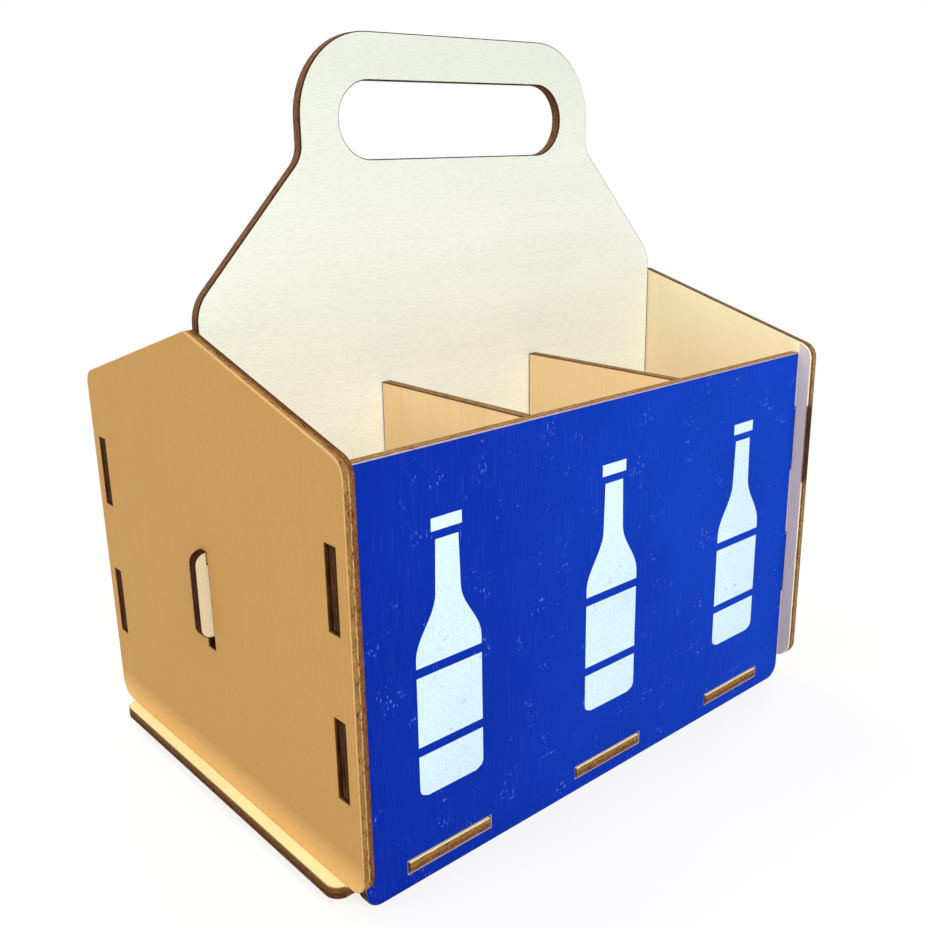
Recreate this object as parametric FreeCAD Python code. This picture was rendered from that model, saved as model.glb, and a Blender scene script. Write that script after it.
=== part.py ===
import FreeCAD, Part
import math
import os

from FreeCAD import Vector

# Bottle caddy cut from flat plywood and slotted together without screws.
# +X runs along the caddy, -Y is the painted front, +Z is up, and the origin lies on the ground
# under the middle. All sizes are in millimetres.

# Sheet and fits
sheet = 4.0                 # plywood thickness of every piece
slot_play = 1.0             # how much wider an end panel's tab slot is than the sheet in it
lap_play = 0.4              # the same for half-lap notches, the lock slots and the plate's slots
tab_play = 0.5              # how much longer a slot is than its tab, at each end
slide_gap = 0.2             # room between faces that slide past each other

# Bottle cells, in two rows with the handle panel between them
cells_in_row = 3
cell_length = 68.7          # clear size along X
cell_depth = 71.2           # clear size along Y

# Front and back panels, which stand on the ground
panel_height = 138.7
panel_corner = 6.0          # radius of the lower corners
side_tab_length = 24.6      # tabs that go through the end panels
side_tab_recess = 0.6       # tab end to the end panel's outer face
upper_tab_drop = 22.2       # panel's top edge to the upper tab
lower_tab_rise = 39.5       # ground to the lower tab

# Bottom plate, which hangs in slots of the front and back panels
plate_rise = 5.1            # ground to the plate's underside
wing_reach = 4.3            # plate's end beyond the end panel's outer face
wing_corner = 5.0
plate_tab_length = 33.0     # tabs that go through the front and back panels
plate_tab_inset = 16.5      # end panel's inner face to the outer tabs
plate_tab_reach = 0.3       # tab end beyond the panel's outer face

# End panels, which stand on the plate's wings
end_overhang = 5.3          # end panel's edge beyond the front and back faces
shoulder_rise = 2.4         # front panel's top edge to the foot of the gable
gable_rise = 24.6           # foot of the gable to its peak
foot_corner = 7.0           # radius of the lower corners
eave_corner = 6.0           # radius where the upright edges meet the gable
peak_radius = 2.0

# Handle panel, locked by lifting it
lock_lift = 4.5             # travel from the loose to the locked place
lock_slot_rise = 50.3       # end panel's foot to the lower end of its lock slot
tongue_height = 30.2
tongue_reach = 4.5          # tongue's end beyond the end panel's outer face
tongue_corner = 4.0
side_rise = 6.7             # gable's peak to the foot of the sloping shoulder
side_radius = 14.0          # bend from the upright side to the shoulder
shoulder_height = 43.3      # foot of the shoulder to the neck
neck_radius = 10.0
head_width = 132.0
head_height = 38.4          # neck to the top edge
head_corner = 27.0
grip_length = 102.0
grip_height = 24.8
grip_drop = 15.0            # top edge to the grip hole

# Dividers, half-lapped with the handle panel
lap_rise = 65.0             # plate's top to the lower end of a divider's notch

# Places that follow from the sizes above
inside_x = (cells_in_row * cell_length + (cells_in_row - 1) * sheet) / 2
outside_x = inside_x + sheet
inside_y = cell_depth + sheet / 2
face_y = inside_y + sheet
end_y = face_y + end_overhang
plate_top = plate_rise + sheet
shoulder_z = panel_height + shoulder_rise
peak_z = shoulder_z + gable_rise
lap_half = (sheet + lap_play) / 2

upper_tab = (panel_height - upper_tab_drop - side_tab_length, panel_height - upper_tab_drop)
lower_tab = (lower_tab_rise, lower_tab_rise + side_tab_length)
side_tabs = [lower_tab, upper_tab]

plate_tab_half = plate_tab_length / 2
plate_tab_mid = inside_x - plate_tab_inset - plate_tab_half
plate_tabs = [(x - plate_tab_half, x + plate_tab_half) for x in (-plate_tab_mid, 0.0, plate_tab_mid)]

divider_pitch = cell_length + sheet
divider_places = [(i - (cells_in_row - 2) / 2) * divider_pitch for i in range(cells_in_row - 1)]
lap_z = plate_top + lap_rise
drop_room = lock_lift + slide_gap

slot_bottom = plate_top + lock_slot_rise
tongue_bottom = slot_bottom + drop_room
tongue_top = tongue_bottom + tongue_height
hook_rise = lock_lift - slide_gap
slot_top = tongue_top - hook_rise


def space(u, v, normal, level):
    """Point with plane coordinates u, v on the plane that lies at a level of its normal axis."""
    if normal == "X":
        return Vector(level, u, v)
    if normal == "Y":
        return Vector(u, level, v)
    return Vector(u, v, level)


def outline(corners, normal, level):
    """Closed wire round corners (u, v, radius), each rounded by an arc tangent to its two sides.
    Where a side is too short for the arcs at its two ends, both shrink alike."""
    points = [Vector(u, v, 0) for u, v, _ in corners]
    count = len(points)
    sides = [points[(i + 1) % count] - points[i] for i in range(count)]
    half_turns = [sides[i - 1].getAngle(sides[i]) / 2 for i in range(count)]
    wanted = [radius * math.tan(half) for (_, _, radius), half in zip(corners, half_turns)]
    needed = [wanted[i] + wanted[(i + 1) % count] for i in range(count)]
    shares = [min(1.0, side.Length / need) if need > 0 else 1.0 for side, need in zip(sides, needed)]
    arcs = []
    for i, point in enumerate(points):
        reach = wanted[i] * min(shares[i - 1], shares[i])
        before = Vector(sides[i - 1]).normalize()
        after = Vector(sides[i]).normalize()
        start = point - before * reach
        end = point + after * reach
        middle = point
        if reach > 0:
            inward = (after - before).normalize()
            fitted = reach / math.tan(half_turns[i])
            middle = point + inward * fitted * (1 / math.cos(half_turns[i]) - 1)
        arcs.append([space(p.x, p.y, normal, level) for p in (start, middle, end)])
    edges = []
    for i, (start, middle, end) in enumerate(arcs):
        if (end - start).Length > 1e-6:
            edges.append(Part.Arc(start, middle, end).toShape())
        following = arcs[(i + 1) % count][0]
        if (following - end).Length > 1e-6:
            edges.append(Part.LineSegment(end, following).toShape())
    return Part.Wire(edges)


def slab(corners, normal, low, high):
    """Board with the given outline between two levels of its normal axis."""
    face = Part.Face(outline(corners, normal, low))
    return face.extrude(space(0, 0, normal, high - low))


def rectangle(u0, u1, v0, v1, radius=0.0):
    """Corners of a rectangle, all with one radius."""
    return [(u0, v0, radius), (u1, v0, radius), (u1, v1, radius), (u0, v1, radius)]


def both_sides(right_half):
    """Whole outline from its right half, listed from the bottom to the top."""
    left_half = [(-u, v, radius) for u, v, radius in reversed(right_half)]
    return right_half + left_half


def through(board, holes, normal, low, high):
    """Board with holes cut right through it."""
    for corners in holes:
        board = board.cut(slab(corners, normal, low, high))
    return board.removeSplitter()


def wall_panel(y0):
    """Front or back panel from y0 on: tabs at both ends and slots for the bottom plate."""
    right_half = [(inside_x, 0.0, panel_corner)]
    tab_end = outside_x - side_tab_recess
    for z0, z1 in side_tabs:
        right_half += [(inside_x, z0, 0.0), (tab_end, z0, 0.0), (tab_end, z1, 0.0), (inside_x, z1, 0.0)]
    right_half.append((inside_x, panel_height, 0.0))
    board = slab(both_sides(right_half), "Y", y0, y0 + sheet)
    slots = []
    for x0, x1 in plate_tabs:
        slots.append(rectangle(x0 - tab_play, x1 + tab_play, plate_rise, plate_top + lap_play))
    return through(board, slots, "Y", y0, y0 + sheet)


def end_panel(x0):
    """End panel from x0 on: gabled, with the lock slot in the middle and slots for four tabs. The tabs lie
    against the outer sides of their slots."""
    back_half = [(end_y, plate_top, foot_corner), (end_y, shoulder_z, eave_corner)]
    gable = both_sides(back_half)
    gable.insert(len(back_half), (0.0, peak_z, peak_radius))
    board = slab(gable, "X", x0, x0 + sheet)
    slots = [rectangle(-lap_half, lap_half, slot_bottom, slot_top)]
    for z0, z1 in side_tabs:
        for y0, y1 in ((-face_y, slot_play - inside_y), (inside_y - slot_play, face_y)):
            slots.append(rectangle(y0, y1, z0 - tab_play, z1 + tab_play))
    return through(board, slots, "X", x0, x0 + sheet)


def bottom_plate():
    """Plate with wings under the end panels and tabs through the front and back panels."""
    tab_end = face_y + plate_tab_reach
    wing_end = outside_x + wing_reach
    back_edge = [(wing_end, inside_y, wing_corner)]
    for x0, x1 in reversed(plate_tabs):
        back_edge += [(x1, inside_y, 0.0), (x1, tab_end, 0.0), (x0, tab_end, 0.0), (x0, inside_y, 0.0)]
    back_edge.append((-wing_end, inside_y, wing_corner))
    front_edge = [(u, -v, radius) for u, v, radius in reversed(back_edge)]
    return slab(front_edge + back_edge, "Z", plate_rise, plate_top)


def handle_panel():
    """Middle panel with the grip, hooked tongues through the end panels, and notches for the dividers."""
    side_x = inside_x - slide_gap
    hook_x = outside_x + slide_gap
    tongue_x = outside_x + tongue_reach
    side_top = peak_z + side_rise
    neck_z = side_top + shoulder_height
    top_z = neck_z + head_height
    foot_z = plate_top + drop_room
    right_half = [
        (side_x, foot_z, 0.0),
        (side_x, tongue_bottom, 0.0),
        (tongue_x, tongue_bottom, tongue_corner),
        (tongue_x, tongue_top, tongue_corner),
        (hook_x, tongue_top, 0.0),
        (hook_x, slot_top, 0.0),
        (side_x, slot_top, 0.0),
        (side_x, side_top, side_radius),
        (head_width / 2, neck_z, neck_radius),
        (head_width / 2, top_z, head_corner),
    ]
    board = slab(both_sides(right_half), "Y", -sheet / 2, sheet / 2)
    grip_top = top_z - grip_drop
    grip_half = grip_length / 2
    holes = [rectangle(-grip_half, grip_half, grip_top - grip_height, grip_top, grip_height / 2)]
    for x in divider_places:
        holes.append(rectangle(x - lap_half, x + lap_half, foot_z, lap_z + drop_room))
    return through(board, holes, "Y", -sheet / 2, sheet / 2)


def divider(x):
    """Cross wall at x that stands on the plate, notched from above for the handle panel."""
    end = inside_y - slide_gap
    board = slab(rectangle(-end, end, plate_top, panel_height), "X", x - sheet / 2, x + sheet / 2)
    notch = rectangle(-lap_half, lap_half, lap_z, panel_height)
    return through(board, [notch], "X", x - sheet / 2, x + sheet / 2)


pieces = {
    "left_end_panel": end_panel(-outside_x),
    "right_end_panel": end_panel(inside_x),
    "front_panel": wall_panel(-face_y),
    "back_panel": wall_panel(inside_y),
    "bottom_plate": bottom_plate(),
    "handle_panel": handle_panel(),
}
for number, place in enumerate(divider_places, start=1):
    pieces[f"divider_{number}"] = divider(place)

os.makedirs("parts", exist_ok=True)
for name, shape in pieces.items():
    shape.exportStep(f"parts/{name}.step")
    state = "valid" if shape.isValid() else "INVALID"
    print(name, state, len(shape.Solids), "solid", round(shape.Volume, 1))
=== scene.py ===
import math
from types import SimpleNamespace

import bpy
import numpy as np
from bpy.props import FloatProperty, FloatVectorProperty, PointerProperty
from mathutils import Matrix, Vector
from mathutils.geometry import tessellate_polygon


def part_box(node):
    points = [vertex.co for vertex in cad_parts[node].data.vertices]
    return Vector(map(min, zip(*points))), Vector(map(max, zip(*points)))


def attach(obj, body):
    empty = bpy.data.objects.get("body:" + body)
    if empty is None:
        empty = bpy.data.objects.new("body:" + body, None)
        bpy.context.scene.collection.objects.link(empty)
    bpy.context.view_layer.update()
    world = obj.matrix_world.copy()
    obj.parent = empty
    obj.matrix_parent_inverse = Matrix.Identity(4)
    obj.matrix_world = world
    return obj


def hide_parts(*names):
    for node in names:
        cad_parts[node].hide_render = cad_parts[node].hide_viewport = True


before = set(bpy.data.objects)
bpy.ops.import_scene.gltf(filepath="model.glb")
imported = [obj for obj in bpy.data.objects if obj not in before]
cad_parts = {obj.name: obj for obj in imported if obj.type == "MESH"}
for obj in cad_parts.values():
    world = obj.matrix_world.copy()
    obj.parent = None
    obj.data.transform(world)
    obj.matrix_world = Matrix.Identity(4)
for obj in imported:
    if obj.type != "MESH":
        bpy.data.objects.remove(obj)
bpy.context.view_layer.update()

bl_info = {
    "name": "Plywood bottle caddy",
    "version": (1, 0, 0),
    "blender": (4, 5, 0),
    "location": "View3D > Sidebar > Caddy",
    "description": "Builds the boards, finishes and studio of a slot-together plywood bottle caddy",
    "category": "Add Mesh",
}

MM = 0.001
FIT = 0.05 * MM             # how far a board's box may lie from its CAD node's
SCRAPED = -0.4              # char of an edge that was scraped after the cut


def linear(hex_colour):
    """Linear RGB of an sRGB hex colour: each channel by the sRGB curve."""
    srgb = np.array([int(hex_colour[i:i + 2], 16) for i in (1, 3, 5)]) / 255
    return tuple(np.where(srgb <= 0.04045, srgb / 12.92, ((srgb + 0.055) / 1.055) ** 2.4))


def length(name, description, millimetres):
    """Property for a length, given in millimetres and held in metres."""
    return FloatProperty(name=name, description=description, default=millimetres * MM, precision=5,
                         subtype="DISTANCE", unit="LENGTH")


def colour(name, description, hex_colour):
    """Property for a colour, given as sRGB hex and held as linear RGB."""
    return FloatVectorProperty(name=name, description=description, default=linear(hex_colour), size=3,
                               subtype="COLOR", min=0.0, max=1.0)


class CaddySizes(bpy.types.PropertyGroup):
    """Sizes of the boards, the same as the CAD nodes'."""
    sheet: length("Sheet", "Plywood thickness of every board", 4.0)
    slot_play: length("Slot play", "How much wider an end panel's tab slot is than the sheet in it", 1.0)
    lap_play: length("Lap play", "The same for half-lap notches, the lock slots and the plate's slots", 0.4)
    tab_play: length("Tab play", "How much longer a slot is than its tab, at each end", 0.5)
    slide_gap: length("Slide gap", "Room between faces that slide past each other", 0.2)
    hook_gap: length("Hook gap", "Hooks of the tongues to the end panels, too small to show", 0.03)
    cell_length: length("Cell length", "Clear length of a bottle cell", 68.7)
    cell_depth: length("Cell depth", "Clear depth of a bottle cell", 71.2)
    panel_height: length("Panel height", "Height of the front and back panels", 138.7)
    panel_corner: length("Panel corner", "Radius of the panels' lower corners", 6.0)
    side_tab_length: length("Side tab length", "Tabs through the end panels", 24.6)
    side_tab_recess: length("Side tab recess", "Tab end to the end panel's outer face", 0.6)
    upper_tab_drop: length("Upper tab drop", "Panel's top edge to the upper tab", 22.2)
    lower_tab_rise: length("Lower tab rise", "Ground to the lower tab", 39.5)
    plate_rise: length("Plate rise", "Ground to the bottom plate", 5.1)
    wing_reach: length("Wing reach", "Plate's end beyond the end panel", 4.3)
    wing_corner: length("Wing corner", "Radius of the plate's corners", 5.0)
    plate_tab_length: length("Plate tab length", "Tabs through the front and back panels", 33.0)
    plate_tab_inset: length("Plate tab inset", "End panel's inner face to the outer tabs", 16.5)
    plate_tab_reach: length("Plate tab reach", "Tab end beyond the panel's outer face", 0.3)
    end_overhang: length("End overhang", "End panel's edge beyond the front face", 5.3)
    shoulder_rise: length("Shoulder rise", "Front panel's top to the foot of the gable", 2.4)
    gable_rise: length("Gable rise", "Foot of the gable to its peak", 24.6)
    foot_corner: length("Foot corner", "Radius of the end panels' lower corners", 7.0)
    eave_corner: length("Eave corner", "Radius where the upright edges meet the gable", 6.0)
    peak_radius: length("Peak radius", "Radius of the gable's peak", 2.0)
    lock_lift: length("Lock lift", "Handle panel's travel", 4.5)
    lock_slot_rise: length("Lock slot rise", "End panel's foot to its lock slot", 50.3)
    tongue_height: length("Tongue height", "Height of the handle panel's tongues", 30.2)
    tongue_reach: length("Tongue reach", "Tongue's end beyond the end panel", 4.5)
    tongue_corner: length("Tongue corner", "Radius of the tongue's outer corners", 4.0)
    side_rise: length("Side rise", "Gable's peak to the handle's sloping shoulder", 6.7)
    side_radius: length("Side radius", "Bend from the side to the shoulder", 14.0)
    shoulder_height: length("Shoulder height", "Height of the sloping shoulder", 43.3)
    neck_radius: length("Neck radius", "Bend from the shoulder to the head", 10.0)
    head_width: length("Head width", "Width of the handle's head", 132.0)
    head_height: length("Head height", "Neck to the top edge", 38.4)
    head_corner: length("Head corner", "Radius of the head's corners", 27.0)
    grip_length: length("Grip length", "Length of the grip hole", 102.0)
    grip_height: length("Grip height", "Height of the grip hole", 24.8)
    grip_drop: length("Grip drop", "Top edge to the grip hole", 15.0)
    lap_rise: length("Lap rise", "Plate's top to the dividers' notches", 65.0)
    arris: length("Arris", "Radius of the sanded edges", 0.35)
    core_groove: length("Core groove", "How deep the cut burns into the middle ply", 0.05)
    mark_height: length("Mark height", "Height of a stencilled bottle", 88.0)
    mark_rise: length("Mark rise", "Ground to the foot of the stencilled bottles", 29.0)
    coat: length("Coat", "Thickness of the stencilled paint", 0.06)


class CaddyColours(bpy.types.PropertyGroup):
    """Colours of the finishes, and of the light and shade painted into some of them."""
    # Painted light and shade: the handle's faces are lighter low down, where the box shades them, and greyer
    # and darker at the head, where the lamps light them most
    cream: colour("Cream veneer", "Lower part of the handle panel's faces", "#F7FAEE")
    cream_painted_shade: colour("Painted shade on cream veneer", "Head of the handle panel", "#D7DCD2")
    # Painted shade: the tongues, where they stand out past the end panels, are darker and warmer than the
    # rest of the same board
    linen_painted_shade: colour("Painted shade on the tongues", "Tongues of the handle panel", "#D9CAAB")
    honey: colour("Honey veneer", "End panels' outer faces", "#BD9152")
    # Painted bounce light: the end panels' outer faces turn paler and warmer towards their foot, lit by the
    # bottom plate's wing
    honey_painted_bounce: colour("Painted bounce light on honey veneer", "The same along their foot", "#EEBE76")
    ivory: colour("Ivory veneer", "End panels' inner faces, and rims of cut edges", "#FAEDC7")
    straw: colour("Straw veneer", "Dividers, back panel and the front's inner face", "#FADAA8")
    butter: colour("Butter veneer", "Bottom plate", "#FAE3A8")
    cream_figure: colour("Cream figure", "Growth lines in the cream veneer", "#BDBFA6")
    figure: colour("Figure", "Growth lines in the other veneers", "#B98752")
    gold_ply: colour("Golden ply", "Left end's cut edge outside, and the plate's above", "#A27A40")
    red_ply: colour("Reddish ply", "End panels' cut edges inside, and the plate's below", "#7A4A2C")
    olive_ply: colour("Olive ply", "Cut edges of front, back and dividers, right end's outside", "#A07C4E")
    smoked_ply: colour("Smoked ply", "Handle panel's cut edge", "#7B553B")
    light_line: colour("Light line", "Glue line in the middle of the cut, and its sanded rims", "#DDB27A")
    char: colour("Char", "Slot walls, tab ends and burnt spots", "#2E0E04")
    primer: colour("Primer", "Pale coat under the cut paint, and the plate's lower rim", "#CFC6DE")
    # Painted shade and blue bounce light: the end panels' inner faces in front of the blue front turn
    # lilac-grey
    painted_shade_blue_bounce: colour("Painted shade and blue bounce", "On the end panels' inner faces beside the front", "#9A9AC0")
    blue: colour("Blue paint", "Front panel's outer face, at its left end", "#05299B")
    # Painted light: the front's blue is lit lighter towards its right end
    blue_painted_light: colour("Blue with painted light", "The same at its right end", "#0E40BB")
    worn_blue: colour("Worn blue", "Open pores and thin streaks in the blue coat", "#5C7ADC")
    white: colour("White paint", "Stencilled marks", "#CFE6F4")
    floor: colour("Floor", "Studio floor", "#F4F3F1")


def places(sizes):
    """Places that follow from the sizes, in metres."""
    p = SimpleNamespace()
    p.inside_x = 1.5 * sizes.cell_length + sizes.sheet
    p.outside_x = p.inside_x + sizes.sheet
    p.inside_y = sizes.cell_depth + sizes.sheet / 2
    p.face_y = p.inside_y + sizes.sheet
    p.end_y = p.face_y + sizes.end_overhang
    p.plate_top = sizes.plate_rise + sizes.sheet
    p.shoulder_z = sizes.panel_height + sizes.shoulder_rise
    p.peak_z = p.shoulder_z + sizes.gable_rise
    p.lap_half = (sizes.sheet + sizes.lap_play) / 2
    upper_top = sizes.panel_height - sizes.upper_tab_drop
    p.side_tabs = [(sizes.lower_tab_rise, sizes.lower_tab_rise + sizes.side_tab_length),
                   (upper_top - sizes.side_tab_length, upper_top)]
    plate_tab_mid = p.inside_x - sizes.plate_tab_inset - sizes.plate_tab_length / 2
    p.plate_tabs = [(x - sizes.plate_tab_length / 2, x + sizes.plate_tab_length / 2)
                    for x in (-plate_tab_mid, 0.0, plate_tab_mid)]
    p.divider_x = (sizes.cell_length + sizes.sheet) / 2
    p.lap_z = p.plate_top + sizes.lap_rise
    p.drop_room = sizes.lock_lift + sizes.slide_gap
    p.slot_bottom = p.plate_top + sizes.lock_slot_rise
    p.tongue_bottom = p.slot_bottom + p.drop_room
    p.tongue_top = p.tongue_bottom + sizes.tongue_height
    p.slot_top = p.tongue_top - sizes.lock_lift + sizes.slide_gap
    return p


def rectangle(u0, u1, v0, v1, radius=0.0):
    """Corners (u, v, radius) of a rectangle, counter-clockwise."""
    return [(u0, v0, radius), (u1, v0, radius), (u1, v1, radius), (u0, v1, radius)]


def both_sides(right_half):
    """Whole outline from its right half, listed from the bottom to the top."""
    return right_half + [(-u, v, radius) for u, v, radius in reversed(right_half)]


def wall_outline(sizes):
    """Front or back panel: outline with side tabs, then the slots for the bottom plate."""
    p = places(sizes)
    tab_end = p.outside_x - sizes.side_tab_recess
    right_half = [(p.inside_x, 0.0, sizes.panel_corner)]
    for z0, z1 in p.side_tabs:
        right_half += [(p.inside_x, z0, 0.0), (tab_end, z0, 0.0), (tab_end, z1, 0.0), (p.inside_x, z1, 0.0)]
    right_half.append((p.inside_x, sizes.panel_height, 0.0))
    slot_top = p.plate_top + sizes.lap_play
    slots = [rectangle(x0 - sizes.tab_play, x1 + sizes.tab_play, sizes.plate_rise, slot_top)
             for x0, x1 in p.plate_tabs]
    return [both_sides(right_half)] + slots


def end_outline(sizes):
    """End panel: gabled outline, then the lock slot and four slots for tabs, which lie against the slots'
    outer sides."""
    p = places(sizes)
    back_half = [(p.end_y, p.plate_top, sizes.foot_corner), (p.end_y, p.shoulder_z, sizes.eave_corner)]
    gable = both_sides(back_half)
    gable.insert(len(back_half), (0.0, p.peak_z, sizes.peak_radius))
    slots = [rectangle(-p.lap_half, p.lap_half, p.slot_bottom, p.slot_top)]
    near = p.inside_y - sizes.slot_play
    for z0, z1 in p.side_tabs:
        slots += [rectangle(y0, y1, z0 - sizes.tab_play, z1 + sizes.tab_play)
                  for y0, y1 in ((-p.face_y, -near), (near, p.face_y))]
    return [gable] + slots


def plate_outline(sizes):
    """Bottom plate: wings at both ends and three tabs along each side."""
    p = places(sizes)
    tab_end = p.face_y + sizes.plate_tab_reach
    wing_end = p.outside_x + sizes.wing_reach
    back_edge = [(wing_end, p.inside_y, sizes.wing_corner)]
    for x0, x1 in reversed(p.plate_tabs):
        back_edge += [(x1, p.inside_y, 0.0), (x1, tab_end, 0.0), (x0, tab_end, 0.0), (x0, p.inside_y, 0.0)]
    back_edge.append((-wing_end, p.inside_y, sizes.wing_corner))
    return [[(u, -v, radius) for u, v, radius in reversed(back_edge)] + back_edge]


def handle_outline(sizes):
    """Handle panel: notched foot, hooked tongues, sloping shoulders and head, then the grip hole."""
    p = places(sizes)
    side_x = p.inside_x - sizes.slide_gap
    hook_x = p.outside_x + sizes.hook_gap
    tongue_x = p.outside_x + sizes.tongue_reach
    side_top = p.peak_z + sizes.side_rise
    neck_z = side_top + sizes.shoulder_height
    top_z = neck_z + sizes.head_height
    foot_z = p.plate_top + p.drop_room
    notch_top = p.lap_z + p.drop_room
    right_half = [
        (p.divider_x - p.lap_half, foot_z, 0.0), (p.divider_x - p.lap_half, notch_top, 0.0),
        (p.divider_x + p.lap_half, notch_top, 0.0), (p.divider_x + p.lap_half, foot_z, 0.0),
        (side_x, foot_z, 0.0), (side_x, p.tongue_bottom, 0.0),
        (tongue_x, p.tongue_bottom, sizes.tongue_corner), (tongue_x, p.tongue_top, sizes.tongue_corner),
        (hook_x, p.tongue_top, 0.0), (hook_x, p.slot_top, 0.0), (side_x, p.slot_top, 0.0),
        (side_x, side_top, sizes.side_radius), (sizes.head_width / 2, neck_z, sizes.neck_radius),
        (sizes.head_width / 2, top_z, sizes.head_corner),
    ]
    grip_top = top_z - sizes.grip_drop
    grip = rectangle(-sizes.grip_length / 2, sizes.grip_length / 2, grip_top - sizes.grip_height, grip_top,
                     sizes.grip_height / 2)
    return [both_sides(right_half), grip]


def divider_outline(sizes):
    """Divider: a rectangle that stands on the plate, notched from above for the handle panel."""
    p = places(sizes)
    end = p.inside_y - sizes.slide_gap
    top = sizes.panel_height
    right_half = [(end, p.plate_top, 0.0), (end, top, 0.0),
                  (p.lap_half, top, 0.0), (p.lap_half, p.lap_z, 0.0)]
    return [both_sides(right_half)]


def rounded(corners, run=4 * MM, turn=math.radians(6)):
    """Points of a closed loop round corners (u, v, radius): each corner is an arc tangent to its two
    sides, in steps of at most one turn, and each straight side is divided in steps of about one run. Where a
    side is too short for the arcs at its two ends, both shrink alike."""
    points = np.array([(u, v) for u, v, _ in corners])
    before = points - np.roll(points, 1, axis=0)
    after = np.roll(points, -1, axis=0) - points
    side_length = np.linalg.norm(after, axis=1)
    before, after = before / np.roll(side_length, 1)[:, None], after / side_length[:, None]
    bend = np.arctan2(before[:, 0] * after[:, 1] - before[:, 1] * after[:, 0], (before * after).sum(1))
    radius = np.array([r for _, _, r in corners])
    wanted = radius * np.tan(np.abs(bend) / 2)
    share = np.minimum(1.0, side_length / np.maximum(wanted + np.roll(wanted, -1), 1e-9))
    reach = wanted * np.minimum(share, np.roll(share, 1))
    loop = []
    for i in range(len(points)):
        start, end = points[i] - before[i] * reach[i], points[i] + after[i] * reach[i]
        if reach[i] > 0:
            steps = max(2, math.ceil(abs(bend[i]) / turn))
            fitted = reach[i] / math.tan(abs(bend[i]) / 2)
            side = math.copysign(1.0, bend[i])
            centre = start + side * fitted * np.array((-before[i][1], before[i][0]))
            sweep = np.linspace(0.0, bend[i], steps + 1)[:, None]
            spoke = start - centre
            across = np.array((-spoke[1], spoke[0]))
            loop.append(centre + spoke * np.cos(sweep) + across * np.sin(sweep))
        else:
            loop.append(points[i][None, :])
        ahead = (i + 1) % len(points)
        following = points[ahead] - before[ahead] * reach[ahead]
        steps = max(1, round(np.linalg.norm(following - end) / run))
        loop.append(end + (following - end) * (np.arange(1, steps) / steps)[:, None])
    loop = np.concatenate(loop)
    apart = np.linalg.norm(loop - np.roll(loop, 1, axis=0), axis=1) > 1e-7
    return loop[apart]


def mitres(loop):
    """Vector at each point of a loop that moves it inwards so that both its sides move by one unit:
    the sum of the two sides' left normals over one plus their product."""
    ahead = np.roll(loop, -1, axis=0) - loop
    ahead /= np.linalg.norm(ahead, axis=1)[:, None]
    left = np.stack((-ahead[:, 1], ahead[:, 0]), axis=1)
    last = np.roll(left, 1, axis=0)
    return (left + last) / (1 + (left * last).sum(1))[:, None]


def between(flat, rings):
    """Triangles that fill the first ring around the others, counter-clockwise, as places along the rings."""
    found = np.array(tessellate_polygon([[Vector((u, v, 0.0)) for u, v in flat[ring]] for ring in rings]))
    a, b, c = (flat[np.concatenate(rings)[found[:, i]]] for i in range(3))
    area = (b[:, 0] - a[:, 0]) * (c[:, 1] - a[:, 1]) - (b[:, 1] - a[:, 1]) * (c[:, 0] - a[:, 0])
    solid = np.abs(area) > 1e-14
    found, area = found[solid], area[solid]
    return np.where(area[:, None] > 0, found, found[:, ::-1])


def skin(loops, inset, depth):
    """Closed skin of a flat piece. The profile (inset, depth) is carried along every loop as a grid (point of
    the loop, point of the profile), and both faces are filled between the grids' end columns. The first loop
    runs counter-clockwise and holes run clockwise. Quads also get the run along the loop and the depth."""
    rows = len(inset)
    flat, quads, runs, front, back = [], [], [], [], []
    start = 0
    for loop in loops:
        count = len(loop)
        flat.append((loop[:, None, :] + mitres(loop)[:, None, :] * inset[None, :, None]).reshape(-1, 2))
        index = start + np.arange(count * rows).reshape(count, rows)
        ahead = np.roll(index, -1, axis=0)
        corners = (index[:, :-1], index[:, 1:], ahead[:, 1:], ahead[:, :-1])
        quads.append(np.stack(corners, axis=2).reshape(-1, 4))
        step = np.linalg.norm(np.roll(loop, -1, axis=0) - loop, axis=1)
        run = np.concatenate(((0.0,), np.cumsum(step)))
        here, there = (np.repeat(ends[:, None], rows - 1, axis=1) for ends in (run[:-1], run[1:]))
        top, low = (np.tile(ends, (count, 1)) for ends in (depth[:-1], depth[1:]))
        runs.append(np.stack((here, top, here, low, there, low, there, top), axis=2).reshape(-1, 4, 2))
        front.append(index[:, 0])
        back.append(index[:, -1])
        start += count * rows
    flat = np.concatenate(flat)
    inner = between(flat, front)
    return SimpleNamespace(flat=flat, deep=np.tile(depth, len(flat) // rows), quads=np.concatenate(quads),
                           runs=np.concatenate(runs), front=np.concatenate(front)[inner],
                           back=np.concatenate(back)[inner][:, ::-1])


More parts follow.
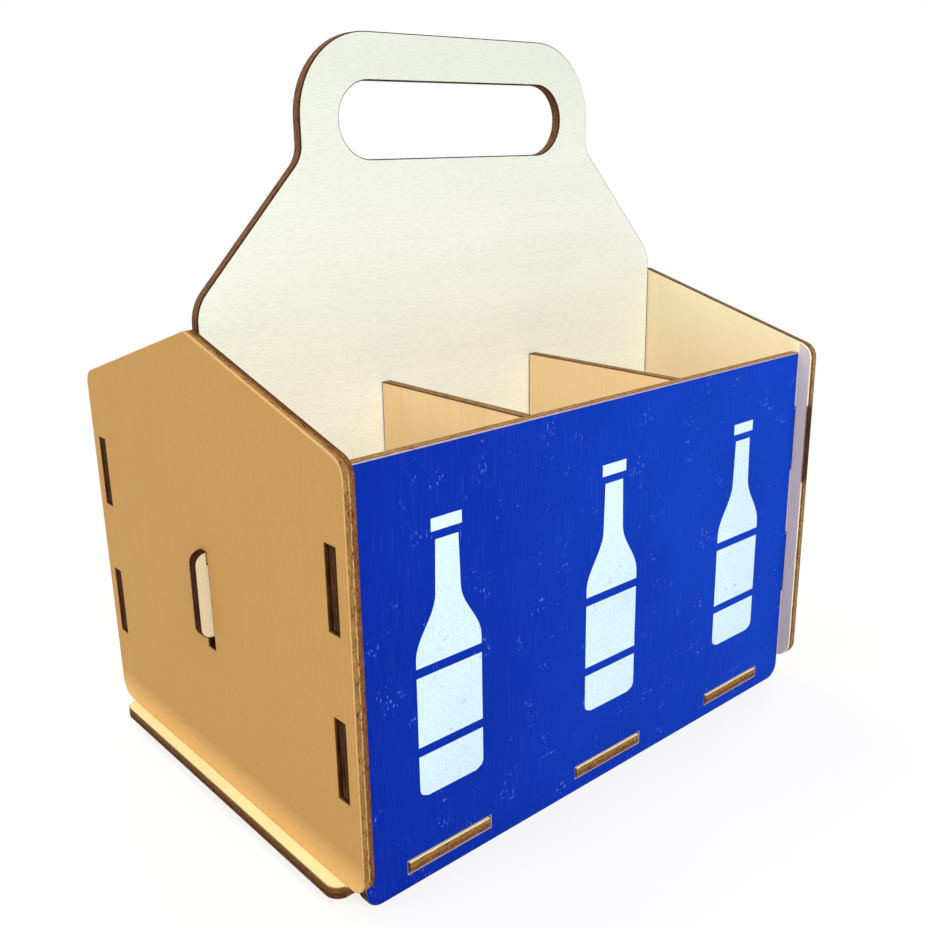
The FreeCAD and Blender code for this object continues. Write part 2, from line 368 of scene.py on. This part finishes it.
def cut_profile(sizes, rim):
    """Profile of a cut board as inset, depth, scorch and which of its steps are edge: across the front
    face's rim beside the cut, round a quarter-circle arris, down the edge with a shallow groove along the
    middle ply, and the same behind."""
    arris, sheet = sizes.arris, sizes.sheet
    rim_place = np.array((1.0, 0.52, 0.2))                      # shares of the rim's width from the arris
    rim_smoke = (0.0, 0.12, 0.4)
    groove_side = np.array((0.30, 0.22, -0.22, -0.30)) * MM     # from the middle of the edge
    groove = np.array((0, 1, 1, 0)) * sizes.core_groove
    turn = np.radians((0, 30, 60, 90))
    inset = np.concatenate((arris + (rim - arris) * rim_place, arris * (1 - np.sin(turn))))
    depth = np.concatenate((0 * rim_place, arris * (1 - np.cos(turn))))
    scorch = np.concatenate((rim_smoke, np.ones(len(turn))))
    inset = np.concatenate((inset, groove, inset[::-1]))
    depth = np.concatenate((depth, sheet / 2 - groove_side, sheet - depth[::-1]))
    scorch = np.concatenate((scorch, np.ones(len(groove)), scorch[::-1]))
    edge = np.zeros(len(inset) - 1, bool)
    edge[len(rim_place):-len(rim_place)] = True
    return inset, depth, scorch, edge


def link(name, points, faces, materials, finish):
    """New object at the origin from points and faces, with one material place per face."""
    mesh = bpy.data.meshes.new(name)
    mesh.from_pydata(points.tolist(), [], faces)
    for material in materials:
        mesh.materials.append(material)
    mesh.polygons.foreach_set("material_index", finish.astype(np.int32))
    mesh.shade_smooth()
    mesh.set_sharp_from_angle(angle=math.radians(40))
    mesh.update()
    piece = bpy.data.objects.new(name, mesh)
    bpy.context.scene.collection.objects.link(piece)
    return piece


def board(name, node, outline, normal, finishes, upright_grain, shift, char, hole_char, rim=1.6 * MM,
          body="box"):
    """One plywood board that stands for a CAD node: the cut profile carried round its outline. Finishes are
    the front face's, the cut edge's and the back face's materials; the front is the side that the outline is
    counter-clockwise from. UV is the run along the cut and the depth on edges, and along and across the grain
    on faces, in metres, moved by shift. Char gives how burnt the outer edge is at each place (u, v), and
    hole_char does for the holes. Rim is how wide the faces are smoked beside the cut."""
    inset, depth, scorch, edge = cut_profile(bpy.context.scene.caddy_sizes, rim)
    rows = len(inset)
    loops = [rounded(corners) for corners in outline]
    burnt = [char(*loops[0].T)] + [np.full(len(hole), hole_char) for hole in loops[1:]]
    loops[1:] = [hole[::-1] for hole in loops[1:]]
    s = skin(loops, inset, depth)

    low, high = (np.array(corner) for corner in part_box(node))
    u, v = s.flat.T
    columns = {"X": (high[0] - s.deep, u, v), "Y": (u, low[1] + s.deep, v), "Z": (u, v, high[2] - s.deep)}
    points = np.stack(columns[normal], axis=1)
    off = max(np.abs(points.min(0) - low).max(), np.abs(points.max(0) - high).max())
    if off > FIT:
        raise RuntimeError(f"{name} leaves its CAD node's box by {off / MM:.3f} mm")

    grain = (s.flat[:, ::-1] if upright_grain else s.flat) + np.array(shift)
    is_edge = np.tile(edge, len(s.quads) // (rows - 1))
    is_back = np.tile(np.arange(rows - 1) >= rows // 2, len(s.quads) // (rows - 1))
    quad_uv = np.where(is_edge[:, None, None], s.runs, grain[s.quads])
    uv = np.concatenate((quad_uv.reshape(-1, 2), grain[s.front].reshape(-1, 2), grain[s.back].reshape(-1, 2)))
    finish = np.concatenate((np.where(is_edge, 1, np.where(is_back, 2, 0)),
                             np.zeros(len(s.front), int), np.full(len(s.back), 2)))
    piece = link(name, points, s.quads.tolist() + s.front.tolist() + s.back.tolist(), finishes, finish)
    mesh = piece.data
    mesh.uv_layers.new(name="board").data.foreach_set("uv", uv.astype(np.float32).ravel())
    for attribute, values in (("scorch", np.tile(scorch, len(s.flat) // rows)),
                              ("char", np.repeat(np.concatenate(burnt), rows))):
        mesh.attributes.new(attribute, "FLOAT", "POINT").data.foreach_set("value", values.astype(np.float32))
    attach(piece, body)
    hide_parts(node)


def bottle_half_width(h):
    """Half width of a plain bottle at a share h of its height, as a share of the height too: a body, a
    half-cosine shoulder up to the neck, a slight taper and a lip, with the foot's corner a quarter circle."""
    body, neck, lip, foot, taper = 0.145, 0.055, 0.066, 0.035, 0.006
    shoulder_start, neck_start, neck_end, lip_start = 0.52, 0.74, 0.94, 0.945
    shoulder = 0.5 + 0.5 * np.cos(np.interp(h, (shoulder_start, neck_start), (0.0, np.pi)))
    width = neck - np.interp(h, (neck_start, neck_end), (0.0, taper)) + (body - neck) * shoulder
    width = np.where(h > lip_start, lip, width)
    low = np.clip(1 - h / foot, 0, 1)
    return width - foot * (1 - np.sqrt(1 - low ** 2))


def bottle_marks(sizes):
    """Loops of the stencilled bottles, one for each cell of the front row: every bottle is cut by stencil
    bridges into four fields, and a field's loop goes up its right side and down its left one."""
    fields = ((0.0, 0.16), (0.195, 0.455), (0.49, 0.925), (0.955, 1.0))
    step = 0.012                # between points, as a share of the bottle's height
    pitch = sizes.cell_length + sizes.sheet
    loops = []
    for middle in (-pitch, 0.0, pitch):
        for low, high in fields:
            h = np.linspace(low, high, 2 + round((high - low) / step))
            half = bottle_half_width(h) * sizes.mark_height
            z = sizes.mark_rise + h * sizes.mark_height
            right, left = (np.stack((middle + side * half, z), axis=1) for side in (1, -1))
            loops.append(np.concatenate((right, left[::-1])))
    return loops


def add(tree, kind, inputs=None, **settings):
    """One node of that kind: settings are its own values, inputs are numbers, colours or sockets."""
    made = tree.nodes.new(kind)
    for key, value in settings.items():
        setattr(made, key, value)
    for key, value in (inputs or {}).items():
        if isinstance(value, bpy.types.NodeSocket):
            tree.links.new(value, made.inputs[key])
        else:
            made.inputs[key].default_value = value
    return made


def blank(name):
    """Empty material, with its tree and output."""
    material = bpy.data.materials.new(name)
    material.use_nodes = True
    tree = material.node_tree
    tree.nodes.clear()
    return material, tree, add(tree, "ShaderNodeOutputMaterial")


def opaque(rgb):
    """Colour with full alpha, as node sockets take it."""
    return (*rgb, 1.0)


def shade(rgb, share):
    """Colour times a share."""
    return tuple(min(1.0, channel * share) for channel in rgb)


def grains(tree, place, sizes, roughness=0.5, dimensions="2D"):
    """Noise patterns at a place, one for each row of sizes: its grain's size along the axes in millimetres,
    and how many finer levels it holds."""
    patterns = []
    for spread, detail in sizes:
        scale = (*(1 / (size * MM) for size in spread), 1.0)[:3]
        scaled = add(tree, "ShaderNodeMapping", {"Vector": place, "Scale": scale})
        noise = add(tree, "ShaderNodeTexNoise", {"Vector": scaled.outputs[0], "Scale": 1.0, "Detail": detail,
                                                 "Roughness": roughness}, noise_dimensions=dimensions)
        patterns.append(noise.outputs["Fac"])
    return patterns


def layer(tree, ground, pattern, low, high, share, tint):
    """Ground with a tint over it: none where the pattern is low, and a share of it where that is high."""
    part = add(tree, "ShaderNodeMapRange", {"Value": pattern, "From Min": low, "From Max": high,
                                            "To Max": share})
    return add(tree, "ShaderNodeMix", {"Factor": part.outputs[0], "A": ground, "B": opaque(tint)},
               data_type="RGBA").outputs["Result"]


def dull_surface(tree, output, base, rough, relief, ior, specular):
    """Matt surface of a base colour. Rough is a pattern with its lowest and highest roughness, and relief is
    a pattern with its strength and its depth in millimetres."""
    pattern, least, most = rough
    roughness = add(tree, "ShaderNodeMapRange", {"Value": pattern, "To Min": least, "To Max": most})
    height, strength, depth = relief
    bump = add(tree, "ShaderNodeBump", {"Height": height, "Strength": strength, "Distance": depth * MM})
    shader = add(tree, "ShaderNodeBsdfPrincipled", {
        "Base Color": base, "Roughness": roughness.outputs[0], "Normal": bump.outputs[0], "IOR": ior,
        "Specular IOR Level": specular})
    tree.links.new(shader.outputs[0], output.inputs["Surface"])


def sanded_veneer(name, base, figure, lines, fibres, pores, smoke, washes=()):
    """Rotary-cut poplar face veneer, sanded and left raw.
    To the eye: an even pale ground, slow broad bands of tone along the grain, thin darker growth lines,
    short fine fibres and pores, and a faint brown breath of smoke beside the laser cut. Lines, fibres, pores
    and smoke are the shares of their tints. Washes (colour, axis, start, end, share) change the tone of the
    ground from one place along an axis to another."""
    material, tree, output = blank(name)
    uv = add(tree, "ShaderNodeUVMap", uv_map="board").outputs["UV"]
    # Along and across the grain: bands, growth lines, fibres and pores. Real fibres and pores are a tenth as
    # wide, and are drawn coarser to show.
    band, line, fibre, pore = grains(tree, uv, (((160, 25), 3.0), ((60, 2), 4.0), ((4, 0.5), 2.0),
                                                ((1.6, 0.5), 1.0)), roughness=0.55)
    veneer = opaque(base)
    # Washes: painted light and shade along an axis
    for tint, axis, start, end, share in washes:
        place = add(tree, "ShaderNodeTexCoord").outputs["Object"]
        along = add(tree, "ShaderNodeSeparateXYZ", {"Vector": place}).outputs[axis]
        veneer = layer(tree, veneer, along, start, end, share, tint)
    scorch = add(tree, "ShaderNodeAttribute", attribute_name="scorch").outputs["Fac"]
    for pattern, low, high, share, tone in ((band, 0.35, 0.75, 0.08, 1.0), (line, 0.5, 0.8, lines, 1.0),
                                            (fibre, 0.3, 0.75, fibres, 0.6), (pore, 0.6, 0.78, pores, 0.7),
                                            (scorch, 0.0, 1.0, smoke, 0.8)):
        veneer = layer(tree, veneer, pattern, low, high, share, shade(figure, tone))
    height = add(tree, "ShaderNodeMath", {0: fibre, 1: line}, operation="ADD").outputs[0]
    dull_surface(tree, output, veneer, (line, 0.6, 0.78), (height, 0.12, 0.1), 1.45, 0.15)
    return material


def burnt_edge(name, colours, plies, line_share, rims, mottle_share):
    """Laser-cut three-ply poplar edge, charred and wiped.
    To the eye: two mottled brown halves, a light glue line between them where the edge was wiped, thin rims
    along both faces, fine upright strokes left by the beam, dark spots where it lingered, and char all over
    where it cut a slot or a tab. Plies are the front's and the back's colours, and rims are the front's and
    the back's colour, width in sheets and strength. Char below zero is a scraped edge, which loses its line
    and has rims four times as wide."""
    material, tree, output = blank(name)
    sheet = bpy.context.scene.caddy_sizes.sheet
    uv = add(tree, "ShaderNodeUVMap", uv_map="board").outputs["UV"]
    char = add(tree, "ShaderNodeAttribute", attribute_name="char").outputs["Fac"]
    # Along the cut and across it: strokes, clouds, mottle and spots
    stroke, cloud, mottle, spot = grains(tree, uv, (((0.4, 6), 2.0), ((7, 2), 4.0), ((1.5, 0.8), 2.0),
                                                    ((3, 1.2), 2.0)))
    # Borders between the tones waver with the clouds
    across = add(tree, "ShaderNodeSeparateXYZ", {"Vector": uv}).outputs["Y"]
    waver = add(tree, "ShaderNodeMath", {0: cloud, 1: 0.06 * sheet, 2: -0.03 * sheet},
                operation="MULTIPLY_ADD").outputs[0]
    depth = add(tree, "ShaderNodeMath", {0: across, 1: waver}, operation="ADD").outputs[0]
    # The line breaks off where the mottle is dark, and where the edge was scraped
    from_middle = add(tree, "ShaderNodeMath", {0: depth, 1: 0.5 * sheet}, operation="SUBTRACT").outputs[0]
    off_line = add(tree, "ShaderNodeMath", {0: from_middle}, operation="ABSOLUTE").outputs[0]
    for pattern, start, end, most in ((mottle, 0.42, 0.3, 0.06 * sheet), (char, 0.0, SCRAPED, 0.1 * sheet)):
        further = add(tree, "ShaderNodeMapRange", {"Value": pattern, "From Min": start, "From Max": end,
                                                   "To Max": most}).outputs[0]
        off_line = add(tree, "ShaderNodeMath", {0: off_line, 1: further}, operation="ADD").outputs[0]
    # How thick the char lies, and how clean and how narrow the rims are
    uneven, clean, narrow = (
        add(tree, "ShaderNodeMapRange", {"Value": pattern, "From Min": start, "From Max": end, "To Min": 1.0,
                                         "To Max": least}).outputs[0]
        for pattern, start, end, least in ((cloud, 0.3, 0.7, 0.82), (char, 0.46, 0.66, 0.1),
                                           (char, 0.0, SCRAPED, 0.25)))
    burnt = add(tree, "ShaderNodeMath", {0: char, 1: uneven}, operation="MULTIPLY").outputs[0]
    edge = opaque(plies[0])
    for pattern, low, high, share, tint in (
            (depth, 0.48 * sheet, 0.52 * sheet, 1.0, plies[1]),
            (cloud, 0.35, 0.7, 0.5, shade(plies[0], 0.55)),
            (mottle, 0.5, 0.72, mottle_share, shade(colours.light_line, 0.75)),
            (mottle, 0.5, 0.3, mottle_share, shade(plies[1], 0.4)),
            (stroke, 0.4, 0.75, 0.3, shade(plies[1], 0.45)),
            (off_line, 0.075 * sheet, 0.03 * sheet, line_share, colours.light_line),
            (spot, 0.58, 0.72, 0.65, colours.char),
            (burnt, 0.0, 1.0, 1.0, colours.char)):
        edge = layer(tree, edge, pattern, low, high, share, tint)
    for face, into, (tint, width, share) in ((0.0, 1.0, rims[0]), (sheet, -1.0, rims[1])):
        inward = add(tree, "ShaderNodeMath", {0: depth, 1: into, 2: face},
                     operation="MULTIPLY_ADD").outputs[0]
        near = add(tree, "ShaderNodeMath", {0: inward, 1: narrow}, operation="MULTIPLY").outputs[0]
        part = add(tree, "ShaderNodeMapRange", {"Value": near, "From Min": width * sheet,
                                                "From Max": 0.55 * width * sheet, "To Max": share}).outputs[0]
        rim = add(tree, "ShaderNodeMath", {0: part, 1: clean}, operation="MULTIPLY").outputs[0]
        edge = layer(tree, edge, rim, 0.0, 1.0, 1.0, tint)
    dull_surface(tree, output, edge, (cloud, 0.65, 0.85), (stroke, 0.3, 0.15), 1.45, 0.04)
    return material


def rolled_paint(name, base, painted_light_tint, wear, wear_share):
    """Matt emulsion, rolled or dabbed on sanded veneer.
    To the eye: a strong even colour with painted light that makes it a little lighter from left to right,
    with a fine stipple, slow clouds where the coat is thicker, a thin veil and relief along the wood's
    upright lines, and loose groups of short specks where a pore stayed open."""
    material, tree, output = blank(name)
    place = add(tree, "ShaderNodeTexCoord").outputs["Object"]
    along = add(tree, "ShaderNodeSeparateXYZ", {"Vector": place}).outputs["X"]
    # Along X, Y and Z: stipple, clouds, wood lines, specks and their groups, the last three through the coat
    through = 1000
    stipple, cloud, line, speck, group = grains(tree, place, (
        ((0.9, 0.9, 0.9), 2.0), ((45, 45, 45), 2.0), ((1, through, 12), 3.0), ((0.6, through, 1.8), 0.0),
        ((9, through, 9), 1.0)), dimensions="3D")
    open_pore, grouped = (
        add(tree, "ShaderNodeMapRange", {"Value": pattern, "From Min": start, "From Max": end,
                                         "To Max": most}).outputs[0]
        for pattern, start, end, most in ((speck, 0.66, 0.74, 1.0), (group, 0.58, 0.7, wear_share)))
    worn = add(tree, "ShaderNodeMath", {0: open_pore, 1: grouped}, operation="MULTIPLY").outputs[0]
    coat = opaque(base)
    # The first layer is painted light, lighter from left to right across the front
    for pattern, low, high, share, tint in (
            (along, -0.1, 0.1, 1.0, painted_light_tint), (cloud, 0.35, 0.7, 0.3, shade(base, 0.7)),
            (line, 0.5, 0.8, 0.06, wear), (stipple, 0.45, 0.75, 0.25, shade(base, 1.3)),
            (stipple, 0.5, 0.3, 0.25, shade(base, 0.8)), (worn, 0.0, 1.0, 1.0, wear)):
        coat = layer(tree, coat, pattern, low, high, share, tint)
    height = add(tree, "ShaderNodeMath", {0: stipple, 1: line}, operation="ADD").outputs[0]
    dull_surface(tree, output, coat, (stipple, 0.6, 0.78), (height, 0.12, 0.12), 1.48, 0.03)
    return material


def settings():
    """Sizes and colours of the scene, with the colours as plain tuples."""
    scene = bpy.context.scene
    names = CaddyColours.__annotations__
    return scene.caddy_sizes, SimpleNamespace(**{n: tuple(getattr(scene.caddy_colours, n)) for n in names})


def straw_veneer(colours):
    """Bare face of the boards inside the box, made once."""
    name = "sanded_poplar_veneer_straw"
    return bpy.data.materials.get(name) or sanded_veneer(name, colours.straw, colours.figure, lines=0.08,
                                                         fibres=0.03, pores=0.06, smoke=0.15)


class CADDY_OT_end_panels(bpy.types.Operator):
    """Gabled end panels with their slots"""
    bl_idname = "caddy.end_panels"
    bl_label = "End panels"

    def execute(self, context):
        sizes, colours = settings()
        front, gable = places(sizes).face_y, places(sizes).shoulder_z
        # The wash along the foot is painted bounce light from the plate's wing
        outer = sanded_veneer("sanded_poplar_veneer_honey", colours.honey, colours.figure,
                              lines=0.06, fibres=0.1, pores=0.26, smoke=0.12,
                              washes=[(colours.honey_painted_bounce, "Z", 21 * MM, 9 * MM, 1.0)])
        inner = sanded_veneer("sanded_poplar_veneer_ivory", colours.ivory, colours.figure,
                              lines=0.05, fibres=0.03, pores=0.06, smoke=0.15,
                              # Painted shade: the inner faces turn warmer and darker below 150 mm, deeper in
                              # the box
                              washes=[(colours.straw, "Z", 150 * MM, 110 * MM, 0.6),
                                      # Painted shade and blue bounce light in front of the front panel's face
                                      (colours.painted_shade_blue_bounce, "Y", 0.2 * MM - front, -0.4 * MM - front, 0.5)])
        dark = shade(colours.red_ply, 0.35)
        left_edge = burnt_edge("laser_cut_poplar_edge_left", colours, (colours.red_ply, colours.gold_ply),
                               line_share=0.6, mottle_share=0.28,
                               rims=((dark, 0.1, 0.8), (colours.light_line, 0.06, 0.7)))
        right_edge = burnt_edge("laser_cut_poplar_edge_right", colours,
                                (colours.olive_ply, shade(colours.red_ply, 0.55)),
                                line_share=0.25, mottle_share=0.4,
                                rims=((dark, 0.18, 0.8), (colours.ivory, 0.12, 0.85)))

        def left_char(u, v):
            """The gable was scraped, from its foot on, and the rest is hardly burnt."""
            return np.interp(v, (gable - 4 * MM, gable + 2 * MM), (0.05, SCRAPED))

        def right_char(u, v):
            """The beam lingered on the front edge, 88 to 120 mm above the ground, and less on the gable."""
            lingered = (u < 0) & (abs(v - 104 * MM) < 16 * MM)
            return np.where(lingered, 0.97, np.where(v > gable, 0.45, 0.0))

        outline = end_outline(sizes)
        board("left_end", "left_end_panel", outline, "X", (inner, left_edge, outer),
              upright_grain=True, shift=(0.31, 0.07), char=left_char, hole_char=1.0)
        board("right_end", "right_end_panel", outline, "X", (outer, right_edge, inner),
              upright_grain=True, shift=(0.93, 0.55), char=right_char, hole_char=1.0)
        return {"FINISHED"}


class CADDY_OT_front_and_back(bpy.types.Operator):
    """Front and back panels, the front one painted outside"""
    bl_idname = "caddy.front_and_back"
    bl_label = "Front and back panels"

    def execute(self, context):
        sizes, colours = settings()
        raw = straw_veneer(colours)
        # The front's paint carries painted light, lighter towards its right end
        paint = rolled_paint("rolled_matt_blue_emulsion", colours.blue, colours.blue_painted_light, colours.worn_blue,
                             wear_share=0.75)
        bare_rim = (colours.light_line, 0.1, 0.6)
        painted_edge, bare_edge = (
            burnt_edge(name, colours, (colours.olive_ply, colours.olive_ply), line_share=0.4,
                       mottle_share=0.4, rims=(front_rim, bare_rim))
            for name, front_rim in (("laser_cut_painted_poplar_edge", (colours.primer, 0.07, 0.5)),
                                    ("laser_cut_bare_poplar_edge", bare_rim)))
        outline = wall_outline(sizes)
        tab_root = places(sizes).inside_x + sizes.arris

        def char(u, v):
            """Tab ends and the foot's edge are burnt darkest."""
            return np.where((np.abs(u) > tab_root) | (v < sizes.panel_corner), 1.0, 0.12)

        board("front", "front_panel", outline, "Y", (paint, painted_edge, raw), upright_grain=False,
              shift=(0.12, 0.81), char=char, hole_char=0.5)
        board("back", "back_panel", outline, "Y", (raw, bare_edge, raw),
              upright_grain=False, shift=(0.64, 0.23), char=char, hole_char=0.5)
        return {"FINISHED"}


class CADDY_OT_marks(bpy.types.Operator):
    """Stencilled white bottles on the painted front, one for each cell"""
    bl_idname = "caddy.marks"
    bl_label = "Stencilled marks"

    def execute(self, context):
        sizes, colours = settings()
        white = rolled_paint("stencilled_matt_white_paint", colours.white, colours.white,
                             shade(colours.blue, 1.2), wear_share=0.5)
        # From just under the blue coat, up the paint's soft shoulder and onto its flat top
        inset = np.array((0.35, 0.12, 0.0, 0.0, 0.35)) * MM
        depth = np.array((-1.0, -0.8, -0.3, 0.4, 0.4)) * sizes.coat
        points, faces, start = [], [], 0
        for loop in bottle_marks(sizes):
            s = skin([loop], inset, depth)
            points.append(np.stack((s.flat[:, 0], s.deep - places(sizes).face_y, s.flat[:, 1]), axis=1))
            faces += (s.quads + start).tolist() + (s.front + start).tolist() + (s.back + start).tolist()
            start += len(s.flat)
        piece = link("front_marks", np.concatenate(points), faces, [white], np.zeros(len(faces)))
        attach(piece, "box")
        return {"FINISHED"}


class CADDY_OT_bottom(bpy.types.Operator):
    """Bottom plate with its wings and tabs"""
    bl_idname = "caddy.bottom"
    bl_label = "Bottom plate"

    def execute(self, context):
        sizes, colours = settings()
        raw = sanded_veneer("sanded_poplar_veneer_butter", colours.butter, colours.figure,
                            lines=0.08, fibres=0.03, pores=0.06, smoke=0.15)
        edge = burnt_edge("laser_cut_plate_edge", colours, (colours.gold_ply, colours.red_ply),
                          line_share=0.0, mottle_share=0.3,
                          rims=((colours.ivory, 0.08, 0.95), (colours.primer, 0.13, 0.6)))
        wing = places(sizes).outside_x
        board("bottom", "bottom_plate", plate_outline(sizes), "Z", (raw, edge, raw),
              upright_grain=False, shift=(0.45, 0.38),
              char=lambda u, v: np.where(np.abs(u) > wing, 0.68, 0.05), hole_char=0.0)
        return {"FINISHED"}


class CADDY_OT_handle(bpy.types.Operator):
    """Handle panel with its grip hole and hooked tongues"""
    bl_idname = "caddy.handle"
    bl_label = "Handle panel"

    def execute(self, context):
        sizes, colours = settings()
        tongue = places(sizes).inside_x
        # The head's wash is painted shade, and the lighter ground below it is painted light against the box's
        # shade
        cream = sanded_veneer("sanded_poplar_veneer_cream", colours.cream, colours.cream_figure,
                              lines=0.07, fibres=0.12, pores=0.1, smoke=0.0,
                              washes=[(colours.cream_painted_shade, "Z", 130 * MM, 245 * MM, 1.0),
                                      # Painted shade on the tongues
                                      (colours.linen_painted_shade, "X", -tongue, -tongue - MM, 1.0),
                                      (colours.linen_painted_shade, "X", tongue, tongue + MM, 1.0)])
        dark_rim = (colours.char, 0.18, 0.8)
        edge = burnt_edge("laser_smoked_poplar_edge", colours, (colours.smoked_ply, colours.smoked_ply),
                          line_share=0.0, mottle_share=0.12, rims=(dark_rim, dark_rim))
        board("handle", "handle_panel", handle_outline(sizes), "Y", (cream, edge, cream),
              upright_grain=False, shift=(0.77, 0.14),
              char=lambda u, v: np.where(np.abs(u) > tongue, 1.0, 0.1), hole_char=0.1, rim=0.46 * MM,
              body="handle")
        return {"FINISHED"}


class CADDY_OT_dividers(bpy.types.Operator):
    """Cross dividers, half-lapped with the handle panel"""
    bl_idname = "caddy.dividers"
    bl_label = "Dividers"

    def execute(self, context):
        sizes, colours = settings()
        raw = straw_veneer(colours)
        edge = burnt_edge("laser_cut_divider_edge", colours, (colours.olive_ply, colours.olive_ply),
                          line_share=0.2, mottle_share=0.3,
                          rims=((colours.light_line, 0.12, 0.7), (shade(colours.red_ply, 0.35), 0.13, 0.8)))
        for number, shift in ((1, (0.26, 0.68)), (2, (0.84, 0.41))):
            board(f"cross_{number}", f"divider_{number}", divider_outline(sizes), "X", (raw, edge, raw),
                  upright_grain=True, shift=shift,
                  char=lambda u, v: np.full(len(u), 0.2), hole_char=0.0)
        return {"FINISHED"}


def seen_directly(tree):
    """Socket that is one for what is seen, straight or in a gloss, and nought for what only gives light."""
    path = add(tree, "ShaderNodeLightPath").outputs
    return add(tree, "ShaderNodeMath", {0: path["Is Camera Ray"], 1: path["Is Glossy Ray"]},
               operation="MAXIMUM").outputs[0]


class CADDY_OT_studio(bpy.types.Operator):
    """Pale floor, soft lights, white surroundings and the camera"""
    bl_idname = "caddy.studio"
    bl_label = "Studio"

    def execute(self, context):
        _, colours = settings()
        scene = context.scene
        scene.view_settings.view_transform = "Standard"
        white = (1.0, 1.0, 1.0, 1.0)

        # Paper that lights the object as paper does, and is seen as white but for a faint shadow
        material, tree, output = blank("matt_white_paper_sweep")
        place = add(tree, "ShaderNodeTexCoord").outputs["Object"]
        away = add(tree, "ShaderNodeVectorMath", {0: place}, operation="LENGTH")
        far = add(tree, "ShaderNodeMapRange", {"Value": away.outputs["Value"], "From Min": 0.2,
                                               "From Max": 0.5, "To Min": 0.76, "To Max": 1.0})
        paper = add(tree, "ShaderNodeBsdfDiffuse", {"Color": opaque(colours.floor)})
        glow = add(tree, "ShaderNodeEmission", {"Color": white, "Strength": 1.0})
        lit = add(tree, "ShaderNodeMixShader", {0: far.outputs[0], 1: paper.outputs[0], 2: glow.outputs[0]})
        mixed = add(tree, "ShaderNodeMixShader", {0: seen_directly(tree), 1: paper.outputs[0],
                                                   2: lit.outputs[0]})
        tree.links.new(mixed.outputs[0], output.inputs["Surface"])
        half, under = 3.0, -0.1 * MM
        corners = np.array([(x, y, under) for x, y, _ in rectangle(-half, half, -half, half)])
        link("floor", corners, [(0, 1, 2, 3)], [material], np.zeros(1))

        # Air that lights the object softly, and is seen as plain white
        world = bpy.data.worlds.new("white_studio")
        scene.world = world
        world.use_nodes = True
        tree = world.node_tree
        tree.nodes.clear()
        air = add(tree, "ShaderNodeBackground", {"Color": white, "Strength": 0.36})
        sweep = add(tree, "ShaderNodeBackground", {"Color": white, "Strength": 1.0})
        mixed = add(tree, "ShaderNodeMixShader", {0: seen_directly(tree), 1: air.outputs[0],
                                                   2: sweep.outputs[0]})
        add(tree, "ShaderNodeOutputWorld", {"Surface": mixed.outputs[0]})

        aim = Vector((0.0, 0.0, 0.11))
        # Each lamp's place and its disc's diameter in metres, and its watts
        for name, place, size, power in (("front_softbox", (-0.36, -1.12, 0.95), 0.8, 15.3),
                                         ("left_softbox", (-1.2, 0.05, 0.8), 0.6, 4.8),
                                         ("right_softbox", (1.3, 0.15, 0.7), 0.6, 6.5),
                                         ("back_softbox", (-0.44, 0.66, 1.37), 0.5, 5.0),
                                         ("rear_softbox", (0.3, 1.2, 0.9), 0.8, 6.5)):
            lamp = bpy.data.lights.new(name, "AREA")
            lamp.shape, lamp.size, lamp.energy = "DISK", size, power
            light = bpy.data.objects.new(name, lamp)
            light.location = place
            light.rotation_euler = (aim - light.location).to_track_quat("-Z", "Y").to_euler()
            scene.collection.objects.link(light)

        # Camera solved from the photograph: place in metres, turns in radians, the rest in pixels
        place = Vector((-0.250956, -0.291478, 0.216712))
        yaw, pitch, roll = 0.7040, -0.2856, -0.0217
        picture, focal, centre_x, centre_y = 928, 1034.8, 454.85, 453.80
        ahead = Vector((math.sin(yaw) * math.cos(pitch), math.cos(yaw) * math.cos(pitch), math.sin(pitch)))
        right = Vector((math.cos(yaw), -math.sin(yaw), 0.0))
        up = right.cross(ahead)
        tilted_right = math.cos(roll) * right + math.sin(roll) * up
        tilted_up = math.cos(roll) * up - math.sin(roll) * right
        eye = bpy.data.cameras.new("camera")
        eye.sensor_fit = "HORIZONTAL"
        eye.sensor_width = 36.0
        eye.lens = focal * eye.sensor_width / picture
        eye.shift_x, eye.shift_y = 0.5 - centre_x / picture, centre_y / picture - 0.5
        eye.clip_start, eye.clip_end = 0.01, 50.0
        camera = bpy.data.objects.new("camera", eye)
        turn = Matrix((tilted_right, tilted_up, -ahead)).transposed().to_4x4()
        camera.matrix_world = Matrix.Translation(place) @ turn
        scene.collection.objects.link(camera)
        scene.camera = camera
        return {"FINISHED"}


class CADDY_PT_panel(bpy.types.Panel):
    """Sidebar list of the caddy's operators and settings"""
    bl_idname = "CADDY_PT_panel"
    bl_label = "Bottle caddy"
    bl_space_type = "VIEW_3D"
    bl_region_type = "UI"
    bl_category = "Caddy"

    def draw(self, context):
        for operator in OPERATORS:
            self.layout.operator(operator.bl_idname)
        for group in (context.scene.caddy_sizes, context.scene.caddy_colours):
            box = self.layout.box()
            for name in type(group).__annotations__:
                box.prop(group, name)


OPERATORS = (CADDY_OT_end_panels, CADDY_OT_front_and_back, CADDY_OT_marks, CADDY_OT_bottom, CADDY_OT_handle,
             CADDY_OT_dividers, CADDY_OT_studio)
CLASSES = (CaddySizes, CaddyColours, *OPERATORS, CADDY_PT_panel)


def register():
    for made in CLASSES:
        bpy.utils.register_class(made)
    bpy.types.Scene.caddy_sizes = PointerProperty(type=CaddySizes)
    bpy.types.Scene.caddy_colours = PointerProperty(type=CaddyColours)


def unregister():
    del bpy.types.Scene.caddy_colours
    del bpy.types.Scene.caddy_sizes
    for made in reversed(CLASSES):
        bpy.utils.unregister_class(made)


def main():
    register()
    bpy.ops.caddy.end_panels()
    bpy.ops.caddy.front_and_back()
    bpy.ops.caddy.marks()
    bpy.ops.caddy.bottom()
    bpy.ops.caddy.handle()
    bpy.ops.caddy.dividers()
    bpy.ops.caddy.studio()


if __name__ == "__main__":
    main()
